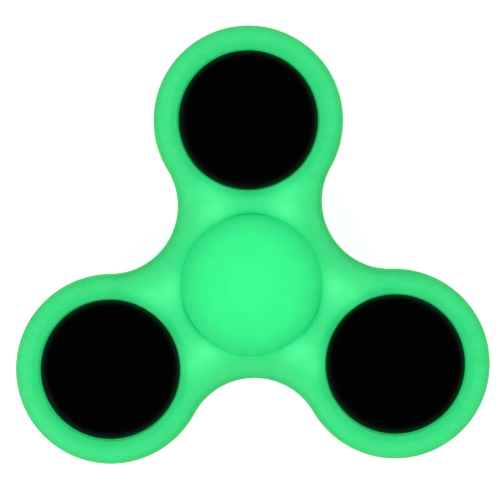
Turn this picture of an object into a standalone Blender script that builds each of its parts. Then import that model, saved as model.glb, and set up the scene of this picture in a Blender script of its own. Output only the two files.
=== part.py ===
"""Tri-lobe fidget spinner with a 608-size ball bearing, three disc counterweights and two finger caps.

Metres, +Z up. The spinner lies flat: +Z is the spin axis, towards the front cap, and one lobe points
along +Y. The origin is on the spin axis, in the middle plane of the bearing.
"""

from math import acos, asin, cos, degrees, pi, radians, sin, sqrt

import bmesh
import bpy

MM = 0.001

# Body: three round lobes joined by hollow fillets
PITCH_R = 26.0 * MM  # spin axis to the middle of a lobe
LOBE_R = 15.12 * MM  # outside radius of a lobe
FILLET_R = 10.72 * MM  # hollow curve between two lobes
BODY_T = 8.4 * MM  # full thickness
EDGE_R = 3.0 * MM  # rounding of the outer edge
SEAT_R = 11.06 * MM  # the four round seats
SEAT_CHAMFER = 0.45 * MM
LOBE_ANGLES = (90.0, 210.0, 330.0)

# Counterweights
WEIGHT_R = 10.9 * MM
WEIGHT_T = 7.0 * MM
WEIGHT_EDGE = 0.7 * MM
DISH_R = 5.2 * MM
DISH_DEPTH = 0.18 * MM

# Finger caps
CAP_R = 11.0 * MM
CAP_TOP = 6.4 * MM  # height of the flat above the middle plane
CAP_UNDER = 4.55 * MM  # underside of the rim
CAP_FLAT_R = 6.3 * MM
CAP_RIM_H = 0.62 * MM  # height of the rim's side wall
BOSS_R = 5.4 * MM
BOSS_Z = 3.6 * MM
STEM_R = 3.9 * MM
STEM_END = 0.4 * MM

# 608-size bearing: 8 mm bore, 22 mm outside, 7 mm wide
BORE_R = 4.0 * MM
OUTER_R = 10.97 * MM
RING_HALF = 3.5 * MM
BALL_PITCH_R = 7.5 * MM
BALL_R = 1.91 * MM  # nominal 1.9845 less the running clearance of these solids
INNER_GROOVE_R = 5.5155 * MM
OUTER_GROOVE_R = 9.4845 * MM
GROOVE_ARC_R = 2.06 * MM
INNER_LAND_R = 6.05 * MM
OUTER_LAND_R = 8.95 * MM
RECESS_Z = 2.45 * MM
RECESS_R = 9.85 * MM
LIP_R = 9.6 * MM
LIP_Z = 3.2 * MM
BALLS = 7

# Ribbon cage
CAGE_IN_R = 6.85 * MM
CAGE_OUT_R = 8.15 * MM
CAGE_T = 0.3 * MM
CAGE_GAP = 0.1 * MM  # each half stands this far off the middle plane
POCKET_IN_R = 2.12 * MM
POCKET_OUT_R = 2.42 * MM
RIVET_R = 0.26 * MM
RIVET_HOLE_R = 0.34 * MM
RIVET_HEAD_R = 0.5 * MM
RIVET_HEAD_T = 0.22 * MM

# Shields and the wires that hold them
SHIELD_T = 0.2 * MM
SHIELD_IN_R = 6.35 * MM
SHIELD_OUT_R = 9.5 * MM
SHIELD_Z = 2.52 * MM
SHIELD_RISE = 0.4 * MM
WIRE_R = 0.16 * MM
WIRE_RING_R = 9.58 * MM
WIRE_GAP_DEG = 26.0

SEEN_STEPS = 48
HIDDEN_STEPS = 36

for old in list(bpy.data.objects):
    bpy.data.objects.remove(old, do_unlink=True)

parts = bpy.data.collections.new("fidget_spinner")
cutters = bpy.data.collections.new("cutters")
bpy.context.scene.collection.children.link(parts)
bpy.context.scene.collection.children.link(cutters)


def material(name, colour, roughness, metallic=0.0, glow=0.0):
    made = bpy.data.materials.new(name)
    made.use_nodes = True
    shader = made.node_tree.nodes["Principled BSDF"]
    shader.inputs["Base Color"].default_value = (*colour, 1.0)
    shader.inputs["Roughness"].default_value = roughness
    shader.inputs["Metallic"].default_value = metallic
    shader.inputs["Emission Color"].default_value = (*colour, 1.0)
    shader.inputs["Emission Strength"].default_value = glow
    made.diffuse_color = (*colour, 1.0)
    return made


GREEN_BODY = material("glow_green_body", (0.045, 0.70, 0.24), 0.3, glow=0.15)
GREEN_CAP = material("glow_green_cap", (0.048, 0.90, 0.30), 0.3, glow=0.2)
BLACK_STEEL = material("black_finished_steel", (0.006, 0.006, 0.007), 0.16, 0.6)
RACE_STEEL = material("bearing_steel", (0.58, 0.58, 0.60), 0.18, 1.0)
BALL_STEEL = material("ball_steel", (0.66, 0.66, 0.68), 0.08, 1.0)
CAGE_STEEL = material("cage_steel", (0.46, 0.45, 0.43), 0.35, 1.0)
SHIELD_STEEL = material("shield_steel", (0.52, 0.52, 0.54), 0.28, 1.0)
WIRE_STEEL = material("wire_steel", (0.40, 0.40, 0.42), 0.3, 1.0)


def place(obj, collection, shade=None, location=(0.0, 0.0, 0.0)):
    for holder in list(obj.users_collection):
        holder.objects.unlink(obj)
    collection.objects.link(obj)
    obj.location = location
    if shade:
        obj.data.materials.clear()
        obj.data.materials.append(shade)
    if collection is cutters:
        obj.hide_render = True
        obj.display_type = "WIRE"
    return obj


def smooth(mesh, angle=35.0):
    mesh.shade_smooth()
    mesh.set_sharp_from_angle(angle=radians(angle))


def turned(name, profile, steps, collection, shade=None, closed=False, location=(0.0, 0.0, 0.0)):
    """A profile of (radius, height) turned about Z. It runs down the outer side, from top to bottom."""
    mesh = bpy.data.meshes.new(name)
    edges = [(i, i + 1) for i in range(len(profile) - 1)]
    if closed:
        edges.append((len(profile) - 1, 0))
    mesh.from_pydata([(r, 0.0, z) for r, z in profile], edges, [])
    obj = bpy.data.objects.new(name, mesh)
    place(obj, collection, shade, location)
    screw = obj.modifiers.new("turn", "SCREW")
    screw.axis = "Z"
    screw.angle = 2 * pi
    screw.steps = screw.render_steps = steps
    screw.use_merge_vertices = True
    screw.merge_threshold = 0.00001
    screw.use_smooth_shade = True
    return obj


def baked(obj):
    """The object's evaluated mesh put in place of its modifiers."""
    graph = bpy.context.evaluated_depsgraph_get()
    mesh = bpy.data.meshes.new_from_object(obj.evaluated_get(graph))
    obj.modifiers.clear()
    obj.data = mesh
    return obj


def welded(obj, distance=0.000002):
    work = bmesh.new()
    work.from_mesh(obj.data)
    bmesh.ops.remove_doubles(work, verts=work.verts, dist=distance)
    bmesh.ops.recalc_face_normals(work, faces=work.faces)
    work.to_mesh(obj.data)
    work.free()
    return obj


def combine(obj, other, operation):
    step = obj.modifiers.new(operation.lower() + "_" + other.name, "BOOLEAN")
    step.operation = operation
    step.solver = "EXACT"
    step.object = other


def polar(radius, angle_deg):
    return radius * cos(radians(angle_deg)), radius * sin(radians(angle_deg))


def mirrored(half):
    """A turned profile that is the same above and below the middle plane, from its upper half."""
    return half + [(r, -z) for r, z in reversed(half)]


# ---------------------------------------------------------------- body

FILLET_D = (PITCH_R + sqrt(PITCH_R**2 - 4 * (PITCH_R**2 - (LOBE_R + FILLET_R) ** 2))) / 2
# Half of the lobe's arc, seen from the lobe's middle, up to where the fillet starts
_fx, _fy = polar(FILLET_D, 60.0)
LOBE_SWEEP = degrees(acos((_fx - PITCH_R) / (LOBE_R + FILLET_R)))
FILLET_SWEEP = LOBE_SWEEP - 60.0  # half of the fillet's arc, seen from the fillet's middle


def body_outline(lobe_steps=30, fillet_steps=12):
    points = []
    for lobe in LOBE_ANGLES:
        cx, cy = polar(PITCH_R, lobe)
        for i in range(lobe_steps):
            a = lobe - LOBE_SWEEP + 2 * LOBE_SWEEP * i / lobe_steps
            dx, dy = polar(LOBE_R, a)
            points.append((cx + dx, cy + dy))
        fx, fy = polar(FILLET_D, lobe + 60.0)
        for i in range(fillet_steps):
            a = lobe + 240.0 + FILLET_SWEEP - 2 * FILLET_SWEEP * i / fillet_steps
            dx, dy = polar(FILLET_R, a)
            points.append((fx + dx, fy + dy))
    return points


def make_body():
    outline = body_outline()
    curve = bpy.data.curves.new("body_outline", "CURVE")
    curve.dimensions = "2D"
    curve.fill_mode = "BOTH"
    curve.bevel_depth = EDGE_R
    curve.bevel_resolution = 1
    curve.offset = -EDGE_R
    curve.extrude = BODY_T / 2 - EDGE_R
    spline = curve.splines.new("POLY")
    spline.points.add(len(outline) - 1)
    for point, (x, y) in zip(spline.points, outline):
        point.co = (x, y, 0.0, 1.0)
    spline.use_cyclic_u = True
    guide = bpy.data.objects.new("body_outline", curve)
    parts.objects.link(guide)
    bpy.context.view_layer.update()
    graph = bpy.context.evaluated_depsgraph_get()
    mesh = bpy.data.meshes.new_from_object(guide.evaluated_get(graph))
    body = bpy.data.objects.new("spinner_body", mesh)
    body.matrix_world = guide.matrix_world
    bpy.data.objects.remove(guide, do_unlink=True)
    place(body, parts, GREEN_BODY)
    welded(body)

    top = BODY_T / 2
    half = [
        (0.0, top + 2 * MM),
        (SEAT_R + SEAT_CHAMFER + 2 * MM, top + 2 * MM),
        (SEAT_R, top - SEAT_CHAMFER),
    ]
    spots = [("seat_centre", (0.0, 0.0, 0.0))]
    for i, lobe in enumerate(LOBE_ANGLES):
        x, y = polar(PITCH_R, lobe)
        spots.append((f"seat_lobe_{i + 1}", (x, y, 0.0)))
    for name, spot in spots:
        cutter = turned(name, mirrored(half), SEEN_STEPS, cutters, location=spot)
        combine(body, cutter, "DIFFERENCE")
    return body


body = make_body()

# ---------------------------------------------------------------- counterweights

top = WEIGHT_T / 2
weight_half = [
    (0.0, top - DISH_DEPTH),
    (DISH_R - 0.3 * MM, top - DISH_DEPTH),
    (DISH_R, top),
    (WEIGHT_R - WEIGHT_EDGE, top),
    (WEIGHT_R, top - WEIGHT_EDGE),
]
for name, lobe in zip(("counterweight_top", "counterweight_left", "counterweight_right"), LOBE_ANGLES):
    x, y = polar(PITCH_R, lobe)
    turned(name, mirrored(weight_half), SEEN_STEPS, parts, BLACK_STEEL, location=(x, y, 0.0))

# ---------------------------------------------------------------- finger caps


def cap_profile():
    """From the middle of the top down to the end of the stem."""
    rim_top = CAP_UNDER + CAP_RIM_H
    points = [(0.0, CAP_TOP), (CAP_FLAT_R, CAP_TOP)]
    steps = 4
    for i in range(1, steps + 1):
        a = radians(90.0 * i / steps)
        points.append(
            (
                CAP_FLAT_R + (CAP_R - CAP_FLAT_R) * sin(a),
                rim_top + (CAP_TOP - rim_top) * cos(a),
            )
        )
    points += [
        (CAP_R, CAP_UNDER),
        (BOSS_R, CAP_UNDER),
        (BOSS_R, BOSS_Z),
        (STEM_R, BOSS_Z),
        (STEM_R - 0.3 * MM, STEM_END),
        (0.0, STEM_END),
    ]
    return points


front = cap_profile()
turned("front_cap", front, SEEN_STEPS, parts, GREEN_CAP)
turned("back_cap", [(r, -z) for r, z in reversed(front)], SEEN_STEPS, parts, GREEN_CAP)

# ---------------------------------------------------------------- bearing


def groove(mid_r, land_r, steps=4):
    """The race's arc, from its upper land to its lower one, as (radius, height)."""
    reach = asin(sqrt(GROOVE_ARC_R**2 - (mid_r - land_r) ** 2) / GROOVE_ARC_R)
    side = 1 if land_r > mid_r else -1
    points = []
    for i in range(steps + 1):
        a = reach - 2 * reach * i / steps
        points.append((mid_r + side * GROOVE_ARC_R * cos(a), GROOVE_ARC_R * sin(a)))
    return points


chamfer = 0.3 * MM
upper_inside = [
    (OUTER_LAND_R, RECESS_Z),
    (RECESS_R, RECESS_Z),
    (RECESS_R, LIP_Z),
    (LIP_R, LIP_Z),
    (LIP_R, RING_HALF),
]
outer_race = (
    [(OUTER_R - chamfer, RING_HALF), (OUTER_R, RING_HALF - chamfer)]
    + [(OUTER_R, -RING_HALF + chamfer), (OUTER_R - chamfer, -RING_HALF)]
    + [(r, -z) for r, z in reversed(upper_inside)]
    + list(reversed(groove(OUTER_GROOVE_R - GROOVE_ARC_R, OUTER_LAND_R)))
    + upper_inside
)
turned("bearing_outer_ring", outer_race, HIDDEN_STEPS, parts, RACE_STEEL, closed=True)

inner_race = (
    [(INNER_LAND_R, RING_HALF)]
    + groove(INNER_GROOVE_R + GROOVE_ARC_R, INNER_LAND_R)
    + [(INNER_LAND_R, -RING_HALF)]
    + [(BORE_R + chamfer, -RING_HALF), (BORE_R, -RING_HALF + chamfer)]
    + [(BORE_R, RING_HALF - chamfer), (BORE_R + chamfer, RING_HALF)]
)
turned("bearing_inner_ring", inner_race, HIDDEN_STEPS, parts, RACE_STEEL, closed=True)


def ball_mesh(name, radius, segments, rings):
    mesh = bpy.data.meshes.new(name)
    work = bmesh.new()
    bmesh.ops.create_uvsphere(work, u_segments=segments, v_segments=rings, radius=radius)
    work.to_mesh(mesh)
    work.free()
    return mesh


BALL_ANGLES = [90.0 + 360.0 * i / BALLS for i in range(BALLS)]
shared_ball = ball_mesh("bearing_ball", BALL_R, 12, 8)
smooth(shared_ball, 60.0)
shared_ball.materials.append(BALL_STEEL)
for i, angle in enumerate(BALL_ANGLES):
    ball = bpy.data.objects.new(f"bearing_ball_{i + 1}", shared_ball)
    parts.objects.link(ball)
    ball.location = (*polar(BALL_PITCH_R, angle), 0.0)

# ---------------------------------------------------------------- ribbon cage


def ball_row(name, radius):
    """Seven spheres on the ball circle, as one cutter."""
    work = bmesh.new()
    for angle in BALL_ANGLES:
        made = bmesh.ops.create_uvsphere(work, u_segments=12, v_segments=6, radius=radius)
        bmesh.ops.translate(work, verts=made["verts"], vec=(*polar(BALL_PITCH_R, angle), 0.0))
    mesh = bpy.data.meshes.new(name)
    work.to_mesh(mesh)
    work.free()
    return place(bpy.data.objects.new(name, mesh), cutters)


def rivet_holes(name):
    work = bmesh.new()
    for angle in BALL_ANGLES:
        made = bmesh.ops.create_cone(
            work, cap_ends=True, segments=6, radius1=RIVET_HOLE_R, radius2=RIVET_HOLE_R, depth=3 * MM
        )
        spot = polar(BALL_PITCH_R, angle + 180.0 / BALLS)
        bmesh.ops.translate(work, verts=made["verts"], vec=(*spot, 0.0))
    mesh = bpy.data.meshes.new(name)
    work.to_mesh(mesh)
    work.free()
    return place(bpy.data.objects.new(name, mesh), cutters)


def band(name, low, high, collection, shade=None, in_r=CAGE_IN_R, out_r=CAGE_OUT_R):
    """A flat ring between two heights."""
    profile = [(out_r, high), (out_r, low), (in_r, low), (in_r, high)]
    return turned(name, profile, 42, collection, shade, closed=True)


cups = ball_row("pocket_outside", POCKET_OUT_R)
pocket_inside = ball_row("pocket_inside", POCKET_IN_R)
holes = rivet_holes("rivet_holes")
for name, side in (("cage_front_half", 1), ("cage_back_half", -1)):
    # A plate wider and thicker than the strip, joined to whole balls, then trimmed to the strip
    plate = sorted((-side * 0.5 * MM, side * (CAGE_GAP + CAGE_T)))
    strip = sorted((side * CAGE_GAP, side * 3 * MM))
    half = band(name, *plate, parts, CAGE_STEEL, CAGE_IN_R - 0.3 * MM, CAGE_OUT_R + 0.3 * MM)
    combine(half, cups, "UNION")
    combine(half, band(name + "_strip", *strip, cutters), "INTERSECT")
    combine(half, pocket_inside, "DIFFERENCE")
    combine(half, holes, "DIFFERENCE")

head_z = CAGE_GAP + CAGE_T + 0.04 * MM
rivet_half = [
    (0.0, head_z + RIVET_HEAD_T),
    (RIVET_HEAD_R, head_z),
    (RIVET_R, head_z),
]
for i, angle in enumerate(BALL_ANGLES):
    spot = polar(BALL_PITCH_R, angle + 180.0 / BALLS)
    turned(
        f"cage_rivet_{i + 1}", mirrored(rivet_half), 6, parts, CAGE_STEEL, location=(*spot, 0.0)
    )

# ---------------------------------------------------------------- shields and snap rings


def shield_profile():
    low, high = SHIELD_Z, SHIELD_Z + SHIELD_T
    return [
        (SHIELD_OUT_R, high),
        (SHIELD_OUT_R, low),
        (8.75 * MM, low),
        (8.45 * MM, low + SHIELD_RISE),
        (SHIELD_IN_R, low + SHIELD_RISE),
        (SHIELD_IN_R, high + SHIELD_RISE),
        (8.55 * MM, high + SHIELD_RISE),
        (8.85 * MM, high),
    ]


shield = shield_profile()
turned("front_shield", shield, HIDDEN_STEPS, parts, SHIELD_STEEL, closed=True)
turned(
    "back_shield",
    [(r, -z) for r, z in reversed(shield)],
    HIDDEN_STEPS,
    parts,
    SHIELD_STEEL,
    closed=True,
)


def snap_ring(name, height, gap_at):
    """A C of round wire, open over WIRE_GAP_DEG."""
    curve = bpy.data.curves.new(name, "CURVE")
    curve.dimensions = "3D"
    curve.bevel_depth = WIRE_R
    curve.bevel_resolution = 1
    curve.use_fill_caps = True
    spline = curve.splines.new("POLY")
    steps = 24
    spline.points.add(steps)
    for i in range(steps + 1):
        angle = gap_at + WIRE_GAP_DEG / 2 + (360.0 - WIRE_GAP_DEG) * i / steps
        spline.points[i].co = (*polar(WIRE_RING_R, angle), height, 1.0)
    curve.materials.append(WIRE_STEEL)
    obj = bpy.data.objects.new(name, curve)
    parts.objects.link(obj)
    return obj


wire_z = SHIELD_Z + SHIELD_T + 0.06 * MM + WIRE_R
snap_ring("front_snap_ring", wire_z, 90.0)
snap_ring("back_snap_ring", -wire_z, 270.0)

# ---------------------------------------------------------------- shading of the solids

bpy.context.view_layer.update()
for obj in (body, bpy.data.objects["cage_front_half"], bpy.data.objects["cage_back_half"]):
    baked(obj)
    smooth(obj.data)
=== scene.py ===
"""Looks of the tri-lobe hand spinner: glow plastic body and finger caps, black-finished steel
counterweights, and a shielded 608-size ball bearing between the caps.

Metres, +Z up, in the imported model's frame.
"""

from math import acos, asin, atan2, ceil, cos, degrees, pi, radians, sin, sqrt, tan

import bpy
import numpy as np
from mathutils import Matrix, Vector
from mathutils.geometry import delaunay_2d_cdt


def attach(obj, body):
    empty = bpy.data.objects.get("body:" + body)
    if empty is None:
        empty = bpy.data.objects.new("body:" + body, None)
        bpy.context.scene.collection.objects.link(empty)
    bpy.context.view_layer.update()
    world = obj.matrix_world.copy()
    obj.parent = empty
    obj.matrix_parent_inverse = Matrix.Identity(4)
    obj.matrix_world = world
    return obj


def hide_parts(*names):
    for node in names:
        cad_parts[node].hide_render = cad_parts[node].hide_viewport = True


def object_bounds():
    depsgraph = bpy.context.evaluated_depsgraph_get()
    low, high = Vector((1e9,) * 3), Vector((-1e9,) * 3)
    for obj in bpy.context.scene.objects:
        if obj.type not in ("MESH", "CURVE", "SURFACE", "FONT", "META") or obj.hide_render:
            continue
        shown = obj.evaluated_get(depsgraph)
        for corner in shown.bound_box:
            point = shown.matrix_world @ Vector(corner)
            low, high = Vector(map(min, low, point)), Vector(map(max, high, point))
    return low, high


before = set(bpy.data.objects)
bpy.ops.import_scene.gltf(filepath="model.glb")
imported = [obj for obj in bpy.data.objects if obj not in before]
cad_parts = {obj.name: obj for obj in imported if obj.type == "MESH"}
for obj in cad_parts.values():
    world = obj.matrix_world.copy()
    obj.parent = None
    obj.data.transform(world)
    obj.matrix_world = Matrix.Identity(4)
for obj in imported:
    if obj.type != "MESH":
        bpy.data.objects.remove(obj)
cad_low, cad_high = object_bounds()
MM = 0.001

LOBES = (90.0, 210.0, 330.0)
PITCH_R = 26.0  # millimetres from here on, turned into metres as each mesh is made
LOBE_R = 15.07
FILLET_R = 10.77
BODY_TOP = 4.2
EDGE_R = 3.0
SEAT_R = 11.06
SEAT_ROUND = 0.36
CAP_R = 11.0


# ---------------------------------------------------------------- mesh tools


def polar(radius, angle_deg):
    return radius * cos(radians(angle_deg)), radius * sin(radians(angle_deg))


def rounded(corners, closed=False, per_quarter=6, support=0.06):
    """A polyline of (r, z, corner radius) as a dense profile: an arc at each corner, with a point just before and after it."""
    out, n = [], len(corners)
    for i, (x, y, radius) in enumerate(corners):
        if radius == 0 or (not closed and i in (0, n - 1)):
            out.append((x, y))
            continue
        p = Vector((x, y))
        before, after = Vector(corners[i - 1][:2]) - p, Vector(corners[(i + 1) % n][:2]) - p
        lb, la = before.length, after.length
        before, after = before / lb, after / la
        angle = acos(max(-1.0, min(1.0, before.dot(after))))
        cut = min(radius / tan(angle / 2), 0.47 * lb, 0.47 * la)
        radius = cut * tan(angle / 2)
        middle = p + (before + after).normalized() * (radius / sin(angle / 2))
        start, end = p + before * cut, p + after * cut
        if lb - cut > 2.5 * support:
            out.append(tuple(start + before * support))
        a0 = atan2(start.y - middle.y, start.x - middle.x)
        turn = atan2(end.y - middle.y, end.x - middle.x) - a0
        turn = (turn + pi) % (2 * pi) - pi
        steps = max(2, ceil(abs(turn) / (pi / 2) * per_quarter))
        for k in range(steps + 1):
            a = a0 + turn * k / steps
            out.append((middle.x + radius * cos(a), middle.y + radius * sin(a)))
        if la - cut > 2.5 * support:
            out.append(tuple(end + after * support))
    return out


def mirrored(half):
    """A profile from top to bottom that is the same above and below z = 0, from its upper half."""
    return half + [(r, -z) for r, z in reversed(half)]


def piece(name, verts, faces, body, node, material, at=(0.0, 0.0), sharp=None):
    mesh = bpy.data.meshes.new(name)
    mesh.from_pydata([(x * MM, y * MM, z * MM) for x, y, z in verts], [], faces)
    mesh.validate()
    mesh.shade_smooth()
    if sharp:
        mesh.set_sharp_from_angle(angle=radians(sharp))
    mesh.materials.append(material)
    obj = bpy.data.objects.new(name, mesh)
    bpy.context.scene.collection.objects.link(obj)
    obj.location = (at[0] * MM, at[1] * MM, 0.0)
    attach(obj, body)
    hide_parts(node)
    return obj


def turned(profile, steps, closed=False):
    """Vertices and faces of a profile (radius, height) turned about Z. It runs down the outer side, from top to bottom."""
    verts, faces, rows = [], [], []
    around = [(cos(2 * pi * k / steps), sin(2 * pi * k / steps)) for k in range(steps)]
    for r, z in profile:
        start = len(verts)
        if r < 1e-6:
            verts.append((0.0, 0.0, z))
            rows.append([start] * steps)
        else:
            verts.extend((r * c, r * s, z) for c, s in around)
            rows.append(list(range(start, start + steps)))
    pairs = list(zip(rows, rows[1:]))
    if closed:
        pairs.append((rows[-1], rows[0]))
    for a, b in pairs:
        for k in range(steps):
            n = (k + 1) % steps
            face = [a[k], b[k], b[n], a[n]]
            faces.append([v for i, v in enumerate(face) if v != face[i - 1]])
    return verts, faces


def paint(obj, name, values):
    """A scalar or a colour for each vertex, which the material reads."""
    values = np.asarray(values, np.float32)
    kind = "FLOAT" if values.ndim == 1 else "FLOAT_COLOR"
    layer = obj.data.attributes.new(name, kind, "POINT")
    if kind == "FLOAT":
        layer.data.foreach_set("value", values)
    else:
        layer.data.foreach_set("color", np.c_[values, np.ones(len(values), np.float32)].ravel())


# ---------------------------------------------------------------- material tools


class Graph:
    """A material with one Principled shader, and short ways to add nodes to it."""

    def __init__(self, name, **sockets):
        self.material = bpy.data.materials.new(name)
        self.material.use_nodes = True
        self.tree = self.material.node_tree
        self.tree.nodes.clear()
        self.shader = self.add("ShaderNodeBsdfPrincipled")
        out = self.add("ShaderNodeOutputMaterial")
        self.join(self.shader.outputs[0], out.inputs["Surface"])
        for key, value in sockets.items():
            self.shader.inputs[key.replace("_", " ")].default_value = value
        where = self.add("ShaderNodeTexCoord")
        scale = self.add("ShaderNodeVectorMath", operation="SCALE")
        scale.inputs["Scale"].default_value = 1000.0
        self.join(where.outputs["Object"], scale.inputs[0])
        self.mm = scale.outputs[0]  # place on the piece, in millimetres

    def add(self, kind, **settings):
        node = self.tree.nodes.new(kind)
        for key, value in settings.items():
            setattr(node, key, value)
        return node

    def join(self, a, b):
        self.tree.links.new(a, b)

    def feed(self, socket, value):
        if isinstance(value, bpy.types.NodeSocket):
            self.join(value, socket)
        else:
            socket.default_value = value

    def math(self, operation, a, b=0.0, c=0.0, clamp=False):
        node = self.add("ShaderNodeMath", operation=operation, use_clamp=clamp)
        for socket, value in zip(node.inputs, (a, b, c)):
            self.feed(socket, value)
        return node.outputs[0]

    def vector(self, operation, a, b):
        node = self.add("ShaderNodeVectorMath", operation=operation)
        self.feed(node.inputs[0], a)
        self.feed(node.inputs[1], b)
        return node.outputs["Value" if operation in ("LENGTH", "DISTANCE", "DOT_PRODUCT") else "Vector"]

    def noise(self, place, scale, detail=2.0, roughness=0.5, distortion=0.0):
        node = self.add("ShaderNodeTexNoise", noise_dimensions="3D")
        self.join(place, node.inputs["Vector"])
        node.inputs["Scale"].default_value = scale
        node.inputs["Detail"].default_value = detail
        node.inputs["Roughness"].default_value = roughness
        node.inputs["Distortion"].default_value = distortion
        return node.outputs["Fac"]

    def span(self, value, low, high, to_low=0.0, to_high=1.0, smooth=False):
        """value from low..high to to_low..to_high, held at the ends."""
        node = self.add("ShaderNodeMapRange", interpolation_type="SMOOTHSTEP" if smooth else "LINEAR", clamp=True)
        for socket, v in zip(node.inputs, (value, low, high, to_low, to_high)):
            self.feed(socket, v)
        return node.outputs["Result"]

    def mix(self, share, a, b, blend="MIX"):
        node = self.add("ShaderNodeMix", data_type="RGBA", blend_type=blend, clamp_factor=True)
        ins = [s for s in node.inputs if s.type == "RGBA"]
        self.feed(node.inputs[0], share)
        for socket, value in zip(ins, (a, b)):
            self.feed(socket, (*value, 1.0) if isinstance(value, tuple) and len(value) == 3 else value)
        return next(s for s in node.outputs if s.type == "RGBA")

    def scaled(self, colour, factor):
        node = self.add("ShaderNodeVectorMath", operation="SCALE")
        self.join(colour, node.inputs[0])
        self.feed(node.inputs["Scale"], factor)
        return node.outputs[0]

    def attribute(self, name, scalar=False):
        node = self.add("ShaderNodeAttribute", attribute_type="GEOMETRY", attribute_name=name)
        return node.outputs["Fac" if scalar else "Color"]

    def stretched(self, factors, turn=0.0):
        """The place in millimetres, turned about Z and stretched, for brushed and scratched patterns."""
        node = self.add("ShaderNodeMapping", vector_type="POINT")
        self.join(self.mm, node.inputs["Vector"])
        node.inputs["Rotation"].default_value = (0.0, 0.0, radians(turn))
        node.inputs["Scale"].default_value = factors
        return node.outputs[0]

    def turning(self, along=1.0, around=0.25):
        """A place that changes fast across the turning marks of a lathe and slowly along them."""
        split = self.add("ShaderNodeSeparateXYZ")
        self.join(self.mm, split.inputs[0])
        x, y, z = split.outputs
        r = self.math("SQRT", self.math("ADD", self.math("MULTIPLY", x, x), self.math("MULTIPLY", y, y)))
        wide = self.math("DIVIDE", x, self.math("ADD", r, 0.2))
        high = self.math("DIVIDE", y, self.math("ADD", r, 0.2))
        joined = self.add("ShaderNodeCombineXYZ")
        self.feed(joined.inputs[0], self.math("MULTIPLY", self.math("ADD", r, z), along))
        self.feed(joined.inputs[1], self.math("MULTIPLY", wide, around))
        self.feed(joined.inputs[2], self.math("MULTIPLY", high, around))
        return joined.outputs[0]

    def scratches(self, turn, scale=0.9, width=0.012, thin=14.0, seed=0.0):
        """Fine hairlines, broken up so that only some stretches show. 0 where there is none."""
        place = self.vector("ADD", self.stretched((1.0, 1.0 / thin, 1.0), turn), (seed, seed * 1.7, seed * 0.3))
        line = self.noise(place, scale * 3.0, 1.0, 0.4, 0.4)
        near = self.span(self.math("ABSOLUTE", self.math("SUBTRACT", line, 0.5)), 0.0, width, 1.0, 0.0)
        patch = self.span(self.noise(self.vector("ADD", self.mm, (seed, 3.1, seed)), 0.33, 2.0), 0.52, 0.66)
        return self.math("MULTIPLY", near, patch)

    def most(self, *values):
        best = values[0]
        for v in values[1:]:
            best = self.math("MAXIMUM", best, v)
        return best

    def bump(self, height, depth_mm, strength=1.0, under=None):
        node = self.add("ShaderNodeBump")
        node.inputs["Strength"].default_value = strength
        node.inputs["Distance"].default_value = depth_mm * MM
        self.join(height, node.inputs["Height"])
        if under is not None:
            self.join(under, node.inputs["Normal"])
        return node.outputs["Normal"]

    def into(self, socket, value):
        self.feed(self.shader.inputs[socket], value)


# ---------------------------------------------------------------- materials


def glow_plastic(name, base, pale):
    """Moulded plastic loaded with glow pigment. Its emission is painted glow: the piece's "glow" colour, which also
    carries painted shade and painted highlights, with fine grain and soft clouds in it.
    """
    g = Graph(name, IOR=1.5, Specular_IOR_Level=0.15, Emission_Strength=1.0)
    grain = g.noise(g.mm, 7.0, 3.0, 0.65)
    cloud = g.noise(g.mm, 0.32, 3.0, 0.55, 0.6)
    streak = g.noise(g.vector("ADD", g.stretched((0.5, 1.9, 0.8), 28.0), (7.0, 2.0, 5.0)), 0.42, 3.0, 0.6, 1.2)
    scuff = g.most(
        g.scratches(12.0, 0.8, 0.010, 13.0, 1.3),
        g.scratches(71.0, 0.9, 0.009, 15.0, 5.9),
        g.scratches(-38.0, 1.1, 0.010, 12.0, 9.2),
    )
    worn = g.math("MULTIPLY", g.attribute("edge", True), g.span(g.noise(g.mm, 0.9, 4.0, 0.65), 0.42, 0.70, 0.15, 1.0, True))
    haze = g.span(g.noise(g.vector("ADD", g.mm, (4.0, 9.0, 1.0)), 0.22, 3.0, 0.6), 0.45, 0.7, smooth=True)

    tint = g.mix(g.span(cloud, 0.3, 0.7), base, pale)
    tint = g.mix(g.math("MULTIPLY", scuff, 0.30), tint, tuple(min(1.0, 0.25 + c) for c in pale))
    tint = g.mix(g.math("MULTIPLY", worn, 0.22), tint, tuple(min(1.0, 0.12 + c) for c in pale))
    g.into("Base Color", tint)

    level = g.math("ADD", g.span(cloud, 0.25, 0.75, 0.982, 1.018), g.span(grain, 0.2, 0.8, -0.035, 0.035))
    level = g.math("ADD", level, g.span(streak, 0.3, 0.7, -0.014, 0.014))
    level = g.math("SUBTRACT", level, g.math("MULTIPLY", scuff, 0.03))
    # Emission: the painted glow, painted shade and painted highlights of the glow colour, varied by grain, clouds,
    # streaks and scuffs
    g.into("Emission Color", g.scaled(g.attribute("glow"), level))

    rough = g.math("ADD", g.span(g.noise(g.mm, 1.4, 3.0), 0.3, 0.7, 0.36, 0.46), g.math("MULTIPLY", haze, 0.07))
    rough = g.math("ADD", rough, g.math("MULTIPLY", g.most(scuff, worn), 0.16), clamp=True)
    g.into("Roughness", rough)

    peel = g.bump(g.noise(g.mm, 1.1, 2.0, 0.5), 0.012, 0.8)
    fine = g.bump(grain, 0.0025, 0.8, peel)
    g.into("Normal", g.bump(g.math("SUBTRACT", 1.0, scuff), 0.004, 0.7, fine))
    return g.material


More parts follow.
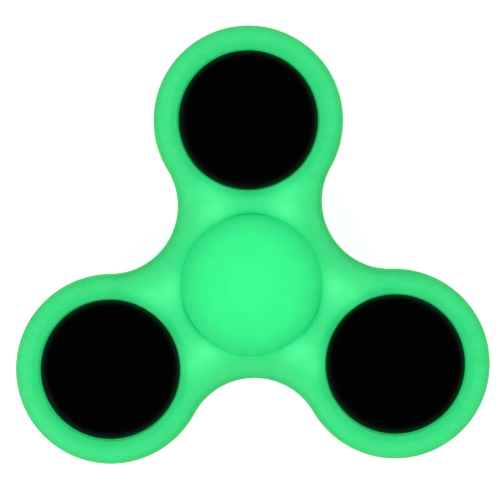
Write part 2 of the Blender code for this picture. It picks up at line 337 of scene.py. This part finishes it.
def black_steel(name):
    """Turned steel with a glossy black finish: dark mirror, faint lathe rings, finger haze and hairlines that thin the finish."""
    g = Graph(name, IOR=1.5, Coat_IOR=1.5, Coat_Roughness=0.06)
    lathe = g.noise(g.turning(9.0, 0.5), 1.0, 4.0, 0.6)
    haze = g.span(g.noise(g.mm, 0.28, 4.0, 0.6, 0.8), 0.42, 0.68, smooth=True)
    scuff = g.most(g.scratches(20.0, 0.7, 0.007, 16.0, 2.2), g.scratches(-55.0, 0.8, 0.006, 15.0, 6.4), g.scratches(84.0, 0.6, 0.006, 18.0, 11.0))
    worn = g.math("MULTIPLY", g.attribute("edge", True), g.span(g.noise(g.mm, 1.5, 4.0, 0.7), 0.50, 0.74, 0.0, 1.0, True))
    shade = g.mix(g.span(lathe, 0.3, 0.7), (0.0150, 0.0150, 0.0156), (0.0220, 0.0220, 0.0226))
    shade = g.mix(g.math("MULTIPLY", scuff, 0.30), shade, (0.06, 0.06, 0.062))
    shade = g.mix(g.math("MULTIPLY", worn, 0.25), shade, (0.07, 0.07, 0.074))
    thin = g.math("MULTIPLY", g.span(g.attribute("rim", True), 0.72, 1.0, smooth=True), 0.8)
    g.into("Base Color", g.mix(thin, shade, (0.052, 0.052, 0.053)))
    g.into("Metallic", 1.0)
    rough = g.math("ADD", g.span(lathe, 0.3, 0.7, 0.115, 0.155), g.math("MULTIPLY", haze, 0.06))
    rough = g.math("ADD", rough, g.math("MULTIPLY", g.span(g.attribute("rim", True), 0.0, 0.6), 0.15))
    g.into("Roughness", g.math("ADD", rough, g.math("MULTIPLY", g.most(scuff, worn), 0.14), clamp=True))
    g.into("Coat Weight", g.span(haze, 0.0, 1.0, 0.10, 0.04))
    low = g.bump(lathe, 0.0012, 0.7)
    g.into("Normal", g.bump(g.math("SUBTRACT", 1.0, scuff), 0.003, 0.6, low))
    return g.material


def bright_steel(name, dark, light, smooth, rough, ring_depth=0.0015, around=0.5, across=11.0, stain=0.25):
    """Ground or pressed steel, with turning or rolling marks, slight stains and hairlines."""
    g = Graph(name, IOR=2.5)
    marks = g.noise(g.turning(across, around), 1.0, 4.0, 0.6)
    film = g.span(g.noise(g.mm, 0.55, 4.0, 0.6, 0.5), 0.44, 0.70, smooth=True)
    scuff = g.most(g.scratches(33.0, 1.2, 0.010, 12.0, 3.3), g.scratches(-20.0, 1.0, 0.009, 14.0, 8.1))
    shade = g.mix(g.span(marks, 0.3, 0.7), dark, light)
    shade = g.mix(g.math("MULTIPLY", film, stain), shade, tuple(c * k for c, k in zip(dark, (0.80, 0.72, 0.60))))
    g.into("Base Color", shade)
    g.into("Metallic", 1.0)
    level = g.math("ADD", g.span(marks, 0.3, 0.7, smooth, rough), g.math("MULTIPLY", film, 0.10))
    g.into("Roughness", g.math("ADD", level, g.math("MULTIPLY", scuff, 0.12), clamp=True))
    low = g.bump(marks, ring_depth, 0.8)
    g.into("Normal", g.bump(g.math("SUBTRACT", 1.0, scuff), 0.002, 0.5, low))
    return g.material


BODY_PLASTIC = glow_plastic("glow_plastic_body", (0.010, 0.275, 0.082), (0.015, 0.315, 0.098))
CAP_PLASTIC = glow_plastic("glow_plastic_cap", (0.009, 0.285, 0.085), (0.013, 0.320, 0.100))
BLACK = black_steel("black_finished_steel")
RACE = bright_steel("ground_race_steel", (0.50, 0.50, 0.51), (0.64, 0.64, 0.66), 0.14, 0.24)
BALL = bright_steel("lapped_ball_steel", (0.60, 0.60, 0.62), (0.69, 0.69, 0.71), 0.05, 0.10, 0.0004, 0.5, 4.0, 0.12)
CAGE = bright_steel("pressed_cage_steel", (0.36, 0.355, 0.34), (0.52, 0.51, 0.49), 0.26, 0.42, 0.0025, 6.0, 3.0, 0.40)
SHIELD = bright_steel("shield_steel", (0.44, 0.44, 0.45), (0.58, 0.58, 0.60), 0.22, 0.34, 0.0020, 0.7, 8.0)
WIRE = bright_steel("drawn_wire_steel", (0.32, 0.32, 0.335), (0.46, 0.46, 0.48), 0.24, 0.34, 0.0020, 3.0, 6.0)


# ---------------------------------------------------------------- how the painted glow, shade and highlights vary

FILLET_D = (PITCH_R + sqrt(PITCH_R**2 - 4 * (PITCH_R**2 - (LOBE_R + FILLET_R) ** 2))) / 2
_fx, _fy = polar(FILLET_D, 60.0)
LOBE_SWEEP = degrees(acos((_fx - PITCH_R) / (LOBE_R + FILLET_R)))
FILLET_SWEEP = LOBE_SWEEP - 60.0


def folded(x, y):
    """The place folded onto one lobe, whose axis is +X, and one side of it."""
    t = (np.degrees(np.arctan2(y, x)) - 90.0) % 120.0
    t = np.radians(np.where(t > 60.0, 120.0 - t, t))
    r = np.hypot(x, y)
    return r * np.cos(t), r * np.sin(t)


def inside_by(x, y):
    """How far a place is inside the body's outline."""
    u, v = folded(x, y)
    from_lobe = LOBE_R - np.hypot(u - PITCH_R, v)
    from_fillet = np.hypot(u - _fx, v - _fy) - FILLET_R
    on_lobe = np.degrees(np.arctan2(v, u - PITCH_R)) <= LOBE_SWEEP
    return np.where(on_lobe, from_lobe, from_fillet)


def painted_body_light(x, y, z):
    """Painted light for the body's emission: painted glow, strongest where it is widest, round the cap and towards each
    lobe; painted shade by the dark seats, in the seam and crease at the cap's rim, at the seat lips, at the waists and
    along the rim; and a painted highlight line along each lobe seat's rounded edge.
    """
    u, v = folded(x, y)
    r, theta = np.hypot(u, v), np.degrees(np.arctan2(v, u))
    # Painted glow: brighter where the body is widest and in a band towards each lobe
    mid_u, mid_v = polar(15.7, 23.0)
    wide = sum(np.exp(-((u - mid_u) ** 2 + (v - k * mid_v) ** 2) / (2 * 1.9**2)) for k in (-1, 1))
    glow_band = np.exp(-(((r - 12.6) / 1.7) ** 2)) * np.exp(-(((theta - 28.0) / 13.7) ** 2))
    lobe_gap = np.maximum(np.hypot(u - PITCH_R, v) - SEAT_R, 0.0)
    cap_gap = np.maximum(r - SEAT_R, 0.0)
    neck = np.clip((14.0 - np.hypot(u - 12.0, v)) / 6.0, 0.0, 1.0)
    # Painted shade by the dark lobe seats; a painted glow tint beside the cap; painted shadow in the seam and crease at
    # the cap's rim
    seat_shade = (1.0 + 0.9 * neck) * np.exp(-((lobe_gap / 1.13) ** 2))
    cap_side_glow = np.exp(-((cap_gap / 1.0) ** 2)) * np.clip((60.0 - theta) / 30.0, 0.4, 1.0)
    seam_shadow = np.exp(-((cap_gap / 0.5) ** 2)) * (0.2 + 0.8 * np.exp(-((theta / 22.0) ** 2)))
    crease_shade = np.exp(-((cap_gap / 0.14) ** 2))
    outer_side = np.clip((u - PITCH_R) / np.maximum(np.hypot(u - PITCH_R, v), 0.1), 0.0, 1.0)
    # Painted shade at the top of the lobe seats' lips
    lip_shade = (1.0 - 0.55 * outer_side) * np.exp(-((lobe_gap / 0.2) ** 2)) * np.clip((np.abs(z) - 3.7) / 0.3, 0.0, 1.0)
    # Painted highlight line on the lobe seats' rounded edges
    pale = (1.0 + 0.9 * neck) * np.exp(-(((lobe_gap - 0.42) / 0.14) ** 2))
    # Painted shade at the waists and along the rim
    waist_shade = np.clip((theta - 33.0) / 8.0, 0.0, 1.0) * np.clip((r - 12.0) / 1.2, 0.0, 1.0)
    inside = np.maximum(inside_by(x, y), 0.0)
    rim = 0.8 * np.minimum(1.9 * np.exp(-inside / 0.62), 1.0) + 0.2 * np.exp(-inside / 2.5)
    colour = np.array(BODY_GLOW_RGB)[None, :]
    for share, tint in (
        (wide, WIDE_GLOW_RGB),
        (glow_band, GLOW_BAND_RGB),
        (seat_shade, SEAT_SHADE_RGB),
        (cap_side_glow, CAP_SIDE_GLOW_RGB),
        (seam_shadow, SEAM_SHADOW_RGB),
        (crease_shade, CREASE_SHADE_RGB),
        (lip_shade, LIP_SHADE_RGB),
        (pale, SEAT_EDGE_HIGHLIGHT_RGB),
        (waist_shade, WAIST_SHADE_RGB),
        (rim, RIM_SHADE_RGB),
    ):
        colour = colour + share[:, None] * np.array(tint)[None, :]
    return np.clip(colour, 0.0, None)


def painted_cap_light(r):
    """Painted light for a cap's emission, by distance from its middle: painted glow brightest in the middle, with
    painted shade falling off towards the rim, where it is also less pale.
    """
    level = np.interp(r, (0.0, 2.0, 4.0, 6.0, 8.0, 9.0, 9.6, 10.2, 10.6, 10.85, 11.0), CAP_GLOW_LEVEL)
    pale = np.clip((10.75 - r) / 0.9, 0.0, 1.0)
    return np.stack([CAP_GLOW_RGB[0] * level * pale, CAP_GLOW_RGB[1] * level, CAP_GLOW_RGB[2] * level**1.15], 1)


# Colours of the painted light in the emission: painted glow, painted shade (negative) and the painted highlight line
# for the body; painted glow for the caps
BODY_GLOW_RGB = (0.045, 0.630, 0.190)
WIDE_GLOW_RGB = (0.022, 0.145, 0.060)
GLOW_BAND_RGB = (0.035, 0.165, 0.080)
SEAT_SHADE_RGB = (-0.032, -0.120, -0.047)
CAP_SIDE_GLOW_RGB = (-0.020, 0.010, 0.002)
SEAM_SHADOW_RGB = (-0.020, -0.175, -0.054)
CREASE_SHADE_RGB = (-0.012, -0.110, -0.030)
LIP_SHADE_RGB = (0.006, -0.370, -0.100)
SEAT_EDGE_HIGHLIGHT_RGB = (0.019, 0.0, 0.006)
WAIST_SHADE_RGB = (0.0, -0.040, -0.010)
RIM_SHADE_RGB = (-0.075, -0.375, -0.158)
CAP_GLOW_RGB = (0.040, 0.830, 0.249)
CAP_GLOW_LEVEL = (1.0, 0.985, 0.95, 0.925, 0.88, 0.80, 0.74, 0.67, 0.60, 0.55, 0.45)


# ---------------------------------------------------------------- body

LOBE_STEPS, FILLET_STEPS, SEAT_STEPS = 168, 60, 168


def outline(inset):
    """The body's outline, moved inwards, always with the same points."""
    points = []
    for lobe in LOBES:
        cx, cy = polar(PITCH_R, lobe)
        for i in range(LOBE_STEPS):
            dx, dy = polar(LOBE_R - inset, lobe - LOBE_SWEEP + 2 * LOBE_SWEEP * i / LOBE_STEPS)
            points.append((cx + dx, cy + dy))
        fx, fy = polar(FILLET_D, lobe + 60.0)
        for i in range(FILLET_STEPS):
            dx, dy = polar(FILLET_R + inset, lobe + 240.0 + FILLET_SWEEP - 2 * FILLET_SWEEP * i / FILLET_STEPS)
            points.append((fx + dx, fy + dy))
    return points


def make_body():
    # The wall's upper half as (inset, height): the mould's parting line, the straight wall, the rounded edge
    wall = [(-0.015, 0.0), (-0.014, 0.030), (-0.003, 0.062), (0.0, 0.10), (0.0, 0.16), (0.0, 0.62), (0.0, BODY_TOP - EDGE_R - 0.06)]
    arc_steps = 14
    for k in range(arc_steps + 1):
        a = pi / 2 * k / arc_steps
        wall.append((EDGE_R * (1 - cos(a)), BODY_TOP - EDGE_R + EDGE_R * sin(a)))
    wall.append((EDGE_R + 0.07, BODY_TOP))
    seat_half = [(SEAT_R + SEAT_ROUND + 0.06, BODY_TOP)]
    for k in range(7):
        a = pi / 2 * k / 6
        seat_half.append((SEAT_R + SEAT_ROUND * (1 - sin(a)), BODY_TOP - SEAT_ROUND * (1 - cos(a))))
    seat_half += [(SEAT_R, BODY_TOP - SEAT_ROUND - 0.07), (SEAT_R, 1.2)]

    verts, faces, edge = [], [], []
    count = len(outline(0.0))

    def ring(points, z, worn):
        start = len(verts)
        verts.extend((x, y, z) for x, y in points)
        edge.extend([worn] * len(points))
        return list(range(start, start + len(points)))

    def bridge(low, high):
        n = len(low)
        for k in range(n):
            m = (k + 1) % n
            faces.append((low[k], low[m], high[m], high[k]))

    full = [(o, -z) for o, z in reversed(wall[1:])] + wall
    rows = []
    for o, z in full:
        worn = 1.0 if 0.02 < o < EDGE_R - 0.02 else 0.0
        rows.append(ring(outline(o), z, max(worn * 0.8, 0.6 if abs(z) < 0.05 else 0.0)))
    for low, high in zip(rows, rows[1:]):
        bridge(low, high)
    top_ring, bottom_ring = rows[-1], rows[0]

    seats = [(0.0, 0.0)] + [polar(PITCH_R, lobe) for lobe in LOBES]
    seat_full = seat_half + [(r, -z) for r, z in reversed(seat_half)]
    top_seats, bottom_seats = [], []
    for sx, sy in seats:
        seat_rows = []
        for r, z in seat_full:
            points = [(sx + dx, sy + dy) for dx, dy in (polar(r, 360.0 * k / SEAT_STEPS) for k in range(SEAT_STEPS))]
            seat_rows.append(ring(points, z, 0.9 if SEAT_R + 0.01 < r < SEAT_R + SEAT_ROUND + 0.01 else 0.0))
        for high, low in zip(seat_rows, seat_rows[1:]):
            bridge(high, low)
        top_seats.append(seat_rows[0])
        bottom_seats.append(seat_rows[-1])

    # The flat between them, as a fine net of triangles, so that the painted glow and shade can vary over it
    border = list(top_ring) + [v for s in top_seats for v in s]
    flat = [Vector(verts[v][:2]) for v in border]
    lines, at = [], 0
    for length in [count] + [SEAT_STEPS] * 4:
        lines += [(at + k, at + (k + 1) % length) for k in range(length)]
        at += length
    step = 0.5
    inset = EDGE_R + 0.07
    grid = []
    for j in range(-90, 111):
        for i in range(-90, 91):
            grid.append((step * (i + 0.5 * (j % 2)), step * j * sqrt(3) / 2))
    grid = np.array(grid)
    free = inside_by(grid[:, 0], grid[:, 1]) > inset + 0.22
    for sx, sy in seats:
        free &= np.hypot(grid[:, 0] - sx, grid[:, 1] - sy) > SEAT_R + SEAT_ROUND + 0.06 + 0.22
    extra = grid[free]
    points = flat + [Vector((x, y)) for x, y in extra]
    out_points, _, triangles, from_points, _, _ = delaunay_2d_cdt(points, lines, [], 0, 1e-7, True)
    top_id, bottom_id = {}, {}
    bottom_border = list(bottom_ring) + [v for s in bottom_seats for v in s]
    for i, sources in enumerate(from_points):
        source = sources[0]
        if source < len(border):
            top_id[i], bottom_id[i] = border[source], bottom_border[source]
        else:
            x, y = out_points[i]
            top_id[i] = len(verts)
            bottom_id[i] = len(verts) + 1
            verts.extend([(x, y, BODY_TOP), (x, y, -BODY_TOP)])
            edge.extend([0.0, 0.0])
    for t in triangles:
        corners = [out_points[i] for i in t]
        mx, my = sum(c[0] for c in corners) / 3, sum(c[1] for c in corners) / 3
        if inside_by(np.array([mx]), np.array([my]))[0] < inset - 0.02:
            continue
        if any(sqrt((mx - sx) ** 2 + (my - sy) ** 2) < SEAT_R + SEAT_ROUND + 0.06 - 0.02 for sx, sy in seats):
            continue
        area = (corners[1] - corners[0]).cross(corners[2] - corners[0])
        order = list(t) if area > 0 else list(reversed(t))
        faces.append([top_id[i] for i in order])
        faces.append([bottom_id[i] for i in reversed(order)])

    body = piece("spinner_body_moulding", verts, faces, "rotor", "spinner_body", BODY_PLASTIC)
    place = np.array(verts)
    # Painted glow, painted shade and the painted highlight line, as the glow colour that the emission reads
    paint(body, "glow", painted_body_light(place[:, 0], place[:, 1], place[:, 2]))
    paint(body, "edge", edge)
    return body


make_body()


# ---------------------------------------------------------------- counterweights

half = [(5.9, 3.50), (7.4, 3.50), (8.6, 3.50), (9.32, 3.50)]
half += [(9.4 + 1.5 * sin(pi / 2 * k / 18), 2.8 + 0.7 * cos(pi / 2 * k / 18)) for k in range(19)]
half += rounded([(10.9, 2.72, 0.0), (10.9, 2.45, 0.05), (11.05, 2.25, 0.05), (11.05, 1.0, 0.0)])
dish = []
for k in range(25):
    r = 5.9 * k / 24
    share = min(1.0, max(0.0, (r - 4.1) / 1.6))
    dish.append((r, 3.50 - 0.11 * (1 - share * share * (3 - 2 * share)) - 0.012 * max(0.0, 1 - (r / 3.5) ** 2) ** 2))
weight_profile = mirrored(dish[:-1] + half)
for name, lobe in zip(("counterweight_top", "counterweight_left", "counterweight_right"), LOBES):
    verts, faces = turned(weight_profile, 160)
    disc = piece(name + "_disc", verts, faces, "rotor", name, BLACK, polar(PITCH_R, lobe))
    place = np.array(verts)
    r, z = np.hypot(place[:, 0], place[:, 1]), np.abs(place[:, 2])
    paint(disc, "edge", ((r > 10.3) & (z > 2.9)) * 0.30)
    paint(disc, "rim", np.clip((r - 9.4) / 1.5, 0.0, 1.0))


# ---------------------------------------------------------------- finger caps


def cap_profile():
    """From the middle of the top down to the end of the stem."""
    top, rim_top, under = 6.4, 5.17, 4.55
    points = [(0.0, top), (2.0, top), (4.0, top), (5.6, top), (6.2, top)]
    steps = 26
    for i in range(steps + 1):
        a = radians(90.0 * i / steps)
        points.append((6.3 + (CAP_R - 6.3) * sin(a), rim_top + (top - rim_top) * cos(a)))
    points += rounded(
        [
            (CAP_R, rim_top - 0.08, 0.0),
            (CAP_R, under, 0.14),
            (5.4, under, 0.25),
            (5.4, 3.6, 0.12),
            (3.9, 3.6, 0.12),
            (3.9, 1.0, 0.3),
            (3.6, 0.4, 0.25),
            (0.0, 0.4, 0.0),
        ]
    )
    return points


front = cap_profile()
for name, profile in (("front_cap", front), ("back_cap", [(r, -z) for r, z in reversed(front)])):
    verts, faces = turned(profile, 192)
    cap = piece(name + "_moulding", verts, faces, "hub", name, CAP_PLASTIC)
    place = np.array(verts)
    r, z = np.hypot(place[:, 0], place[:, 1]), np.abs(place[:, 2])
    glow = painted_cap_light(r)
    # Painted shade: the underside and stem of the cap give off less light
    glow[z < 4.7] *= 0.85
    paint(cap, "glow", glow)
    paint(cap, "edge", (np.abs(r - 6.6) < 0.5) * 0.35 + ((r > 10.0) & (z > 4.5)) * 0.7)


# ---------------------------------------------------------------- bearing rings

BALL_PITCH_R, BALL_R, BALLS = 7.5, 1.91, 7
BALL_ANGLES = [90.0 + 360.0 * i / BALLS for i in range(BALLS)]


def groove(middle_r, land_r, steps=18):
    """A race's arc, from its upper land to its lower one."""
    arc_r = 2.06
    reach = asin(sqrt(arc_r**2 - (middle_r - land_r) ** 2) / arc_r)
    side = 1 if land_r > middle_r else -1
    angles = [reach - 2 * reach * i / steps for i in range(steps + 1)]
    return [(middle_r + side * arc_r * cos(a), arc_r * sin(a)) for a in angles]


def with_groove(before, arc, after):
    """A closed profile: rounded corners, then a groove left as it is, then rounded corners."""
    return rounded(before + [(*p, 0.0) for p in arc] + after, closed=True, per_quarter=4, support=0.05)


outer_groove = list(reversed(groove(9.4845 - 2.06, 8.95)))
verts, faces = turned(
    with_groove(
        [(10.97, 3.5, 0.3), (10.97, 2.7, 0.05), (11.05, 2.6, 0.05), (11.05, -2.6, 0.05), (10.97, -2.7, 0.05), (10.97, -3.5, 0.3), (9.6, -3.5, 0.1), (9.6, -3.2, 0.05), (9.85, -3.2, 0.05), (9.85, -2.45, 0.06), (8.95, -2.45, 0.12)],
        outer_groove,
        [(8.95, 2.45, 0.12), (9.85, 2.45, 0.06), (9.85, 3.2, 0.05), (9.6, 3.2, 0.05), (9.6, 3.5, 0.1)],
    ),
    144,
    closed=True,
)
piece("bearing_outer_race", verts, faces, "rotor", "bearing_outer_ring", RACE, sharp=40)

verts, faces = turned(
    with_groove(
        [(6.05, 3.5, 0.15)],
        groove(5.5155 + 2.06, 6.05),
        [(6.05, -3.5, 0.15), (4.0, -3.5, 0.3), (4.0, 3.5, 0.3)],
    ),
    120,
    closed=True,
)
piece("bearing_inner_race", verts, faces, "hub", "bearing_inner_ring", RACE, sharp=40)


# ---------------------------------------------------------------- balls


def ball():
    """A ball from a cube of square patches pushed out to the sphere, with no poles."""
    steps, verts, faces, seen = 14, [], [], {}

    def corner(p):
        key = tuple(round(c, 6) for c in p)
        if key not in seen:
            seen[key] = len(verts)
            v = Vector(p).normalized() * BALL_R
            verts.append(tuple(v))
        return seen[key]

    for axis in range(3):
        for side in (-1.0, 1.0):
            for i in range(steps):
                for j in range(steps):
                    quad = []
                    for di, dj in ((0, 0), (1, 0), (1, 1), (0, 1)):
                        p = [0.0, 0.0, 0.0]
                        p[axis] = side
                        p[(axis + 1) % 3] = tan(pi / 4 * (2 * (i + di) / steps - 1))
                        p[(axis + 2) % 3] = tan(pi / 4 * (2 * (j + dj) / steps - 1))
                        quad.append(corner(p))
                    faces.append(quad if side > 0 else quad[::-1])
    return verts, faces


ball_verts, ball_faces = ball()
for i, angle in enumerate(BALL_ANGLES):
    piece(f"ball_{i + 1}", ball_verts, ball_faces, f"ball_{i + 1}", f"bearing_ball_{i + 1}", BALL, polar(BALL_PITCH_R, angle))


# ---------------------------------------------------------------- ribbon cage


def blend_up(a, b, k):
    """The larger of two heights, with a soft join."""
    h = max(0.0, k - abs(a - b)) / k
    return max(a, b) + h * h * k / 4


def cage_half(side):
    """A pressed strip with a cup over each ball: an outer and an inner skin over the ring, joined at its rims."""
    steps, across = 560, 9
    verts, faces = [], []
    rows = {}
    for k in range(steps):
        angle = 360.0 * k / steps
        near = min(BALL_ANGLES, key=lambda b: abs((angle - b + 180.0) % 360.0 - 180.0))
        bx, by = polar(BALL_PITCH_R, near)
        for j in range(across):
            r = 6.85 + 1.30 * j / (across - 1)
            x, y = polar(r, angle)
            d2 = (x - bx) ** 2 + (y - by) ** 2
            outer = blend_up(0.40, sqrt(max(2.42**2 - d2, 0.0)), 0.22)
            inner = blend_up(0.10, sqrt(max(2.13**2 - d2, 0.0)), 0.14)
            inner = min(inner, outer - 0.2)
            for skin, z in (("o", outer), ("i", inner)):
                rows[skin, k, j] = len(verts)
                verts.append((x, y, side * z))
    for k in range(steps):
        n = (k + 1) % steps
        quads = []
        for j in range(across - 1):
            quads.append([rows["o", k, j], rows["o", k, j + 1], rows["o", n, j + 1], rows["o", n, j]])
            quads.append([rows["i", k, j], rows["i", n, j], rows["i", n, j + 1], rows["i", k, j + 1]])
        last = across - 1
        quads.append([rows["o", k, last], rows["i", k, last], rows["i", n, last], rows["o", n, last]])
        quads.append([rows["o", k, 0], rows["o", n, 0], rows["i", n, 0], rows["i", k, 0]])
        faces += [q if side > 0 else q[::-1] for q in quads]
    return verts, faces


for name, side in (("front", 1), ("back", -1)):
    verts, faces = cage_half(side)
    strip = piece(f"cage_{name}_strip", verts, faces, "cage", f"cage_{name}_half", CAGE, sharp=45)

head = 0.1 + 0.3 + 0.02
rivet_half = rounded([(0.0, head + 0.20, 0.0), (0.36, head + 0.17, 0.12), (0.5, head, 0.03), (0.26, head, 0.03), (0.26, 0.1, 0.0)], per_quarter=4, support=0.02)
rivet_profile = mirrored(rivet_half)
for i, angle in enumerate(BALL_ANGLES):
    verts, faces = turned(rivet_profile, 32)
    spot = polar(BALL_PITCH_R, angle + 180.0 / BALLS)
    piece(f"rivet_{i + 1}", verts, faces, "cage", f"cage_rivet_{i + 1}", CAGE, spot)


# ---------------------------------------------------------------- shields and their wires


def shield(side):
    """A pressed ring: flat under the wire, a soft step up, a flat face, and an inner rim turned down a little."""
    upper = [(9.5, 2.72, 0.06), (8.85, 2.72, 0.22), (8.45, 3.12, 0.22), (6.75, 3.12, 0.18), (6.35, 3.02, 0.05)]
    lower = [(6.35, 2.84, 0.05), (6.72, 2.92, 0.12), (8.37, 2.92, 0.10), (8.77, 2.52, 0.10), (9.5, 2.52, 0.06)]
    profile = rounded(upper + lower, closed=True, per_quarter=5, support=0.05)
    profile = list(reversed(profile))
    if side < 0:
        profile = [(r, -z) for r, z in reversed(profile)]
    return turned(profile, 144, closed=True)


def snap_ring(side):
    """A round wire bent to an open ring, with rounded ends."""
    ring_r, wire_r, z, gap = 9.58, 0.16, 2.94, 26.0
    middle = 90.0 if side > 0 else 270.0
    first, last = middle + gap / 2, middle + 360.0 - gap / 2
    steps, sides = 120, 12
    end_deg = degrees(wire_r / ring_r)
    stations = [(first + end_deg * (1 - cos(pi / 2 * k / 4)), max(sin(pi / 2 * k / 4), 0.03)) for k in range(5)]
    for k in range(1, steps):
        stations.append((first + end_deg + (last - first - 2 * end_deg) * k / steps, 1.0))
    stations += [(last - end_deg * (1 - cos(pi / 2 * k / 4)), max(sin(pi / 2 * k / 4), 0.03)) for k in reversed(range(5))]
    verts, faces, rows = [], [], []
    for angle, share in stations:
        start = len(verts)
        for s in range(sides):
            a = 2 * pi * s / sides
            x, y = polar(ring_r + wire_r * share * cos(a), angle)
            verts.append((x, y, side * z + wire_r * share * sin(a)))
        rows.append(list(range(start, start + sides)))
    for a, b in zip(rows, rows[1:]):
        for s in range(sides):
            n = (s + 1) % sides
            faces.append((a[s], a[n], b[n], b[s]))
    faces.append(list(reversed(rows[0])))
    faces.append(rows[-1])
    return verts, faces


for name, side in (("front", 1), ("back", -1)):
    verts, faces = shield(side)
    piece(f"{name}_dust_shield", verts, faces, "rotor", f"{name}_shield", SHIELD)
    verts, faces = snap_ring(side)
    piece(f"{name}_wire_ring", verts, faces, "rotor", f"{name}_snap_ring", WIRE)


# ---------------------------------------------------------------- floor, light and camera

floor_z = cad_low.z - 0.00002
floor_mesh = bpy.data.meshes.new("floor")
wide = 4.0
floor_mesh.from_pydata([(-wide, -wide, floor_z), (wide, -wide, floor_z), (wide, wide, floor_z), (-wide, wide, floor_z)], [], [(0, 1, 2, 3)])
floor = bpy.data.objects.new("floor", floor_mesh)
bpy.context.scene.collection.objects.link(floor)
paper = bpy.data.materials.new("floor_paper")
paper.use_nodes = True
shader = paper.node_tree.nodes["Principled BSDF"]
shader.inputs["Base Color"].default_value = (0.90, 0.90, 0.90, 1.0)
shader.inputs["Roughness"].default_value = 0.9
shader.inputs["Specular IOR Level"].default_value = 0.1
shader.inputs["Emission Color"].default_value = (1.0, 1.0, 1.0, 1.0)
shader.inputs["Emission Strength"].default_value = 0.78
floor.data.materials.append(paper)

world = bpy.data.worlds.new("studio")
world.use_nodes = True
bpy.context.scene.world = world
tree = world.node_tree
tree.nodes.clear()
out = tree.nodes.new("ShaderNodeOutputWorld")
sky = tree.nodes.new("ShaderNodeBackground")
where = tree.nodes.new("ShaderNodeTexCoord")
split = tree.nodes.new("ShaderNodeSeparateXYZ")
fade = tree.nodes.new("ShaderNodeValToRGB")
tree.links.new(where.outputs["Generated"], split.inputs[0])
tree.links.new(split.outputs[2], fade.inputs[0])
tree.links.new(sky.outputs[0], out.inputs["Surface"])
# One side of the studio is a little brighter than the other
side = tree.nodes.new("ShaderNodeVectorMath")
side.operation = "DOT_PRODUCT"
side.inputs[1].default_value = (-0.62, -0.56, 0.0)
tree.links.new(where.outputs["Generated"], side.inputs[0])
level = tree.nodes.new("ShaderNodeMath")
level.operation = "MULTIPLY_ADD"
level.inputs[1].default_value = 0.36
level.inputs[2].default_value = 1.2
tree.links.new(side.outputs["Value"], level.inputs[0])
tree.links.new(fade.outputs[0], sky.inputs["Color"])
tree.links.new(level.outputs[0], sky.inputs["Strength"])
ramp = fade.color_ramp
ramp.interpolation = "LINEAR"
ramp.elements.new(0.5)
ramp.elements.new(0.7)
for stop, (height, share) in zip(ramp.elements, ((0.44, 1.0), (0.62, 0.55), (0.74, 0.12), (0.86, 0.03))):
    stop.position = height
    stop.color = (share, share, share, 1.0)


def softbox(name, place, towards, size, power, colour=(1.0, 1.0, 1.0)):
    light = bpy.data.lights.new(name, "AREA")
    light.shape = "RECTANGLE"
    light.size, light.size_y = size
    light.energy = power
    light.color = colour
    obj = bpy.data.objects.new(name, light)
    bpy.context.scene.collection.objects.link(obj)
    obj.location = place
    obj.rotation_euler = (Vector(towards) - Vector(place)).to_track_quat("-Z", "Y").to_euler()
    return obj


softbox("key", (-0.55, -0.50, 0.42), (0.0, 0.0, 0.0), (0.5, 0.35), 1.1)
softbox("fill", (0.60, 0.45, 0.34), (0.0, 0.0, 0.0), (0.45, 0.35), 0.6)

bpy.context.scene.view_settings.view_transform = "Standard"
bpy.context.scene.view_settings.look = "None"

camera_data = bpy.data.cameras.new("camera")
camera_data.lens = 135.6
camera_data.sensor_width = 36.0
camera_data.clip_start = 0.02
camera_data.clip_end = 20.0
camera = bpy.data.objects.new("camera", camera_data)
bpy.context.scene.collection.objects.link(camera)
camera.location = (-0.000114, 0.005440, 0.3000)
camera.rotation_euler = (0.0, 0.0, radians(-1.06))
bpy.context.scene.camera = camera
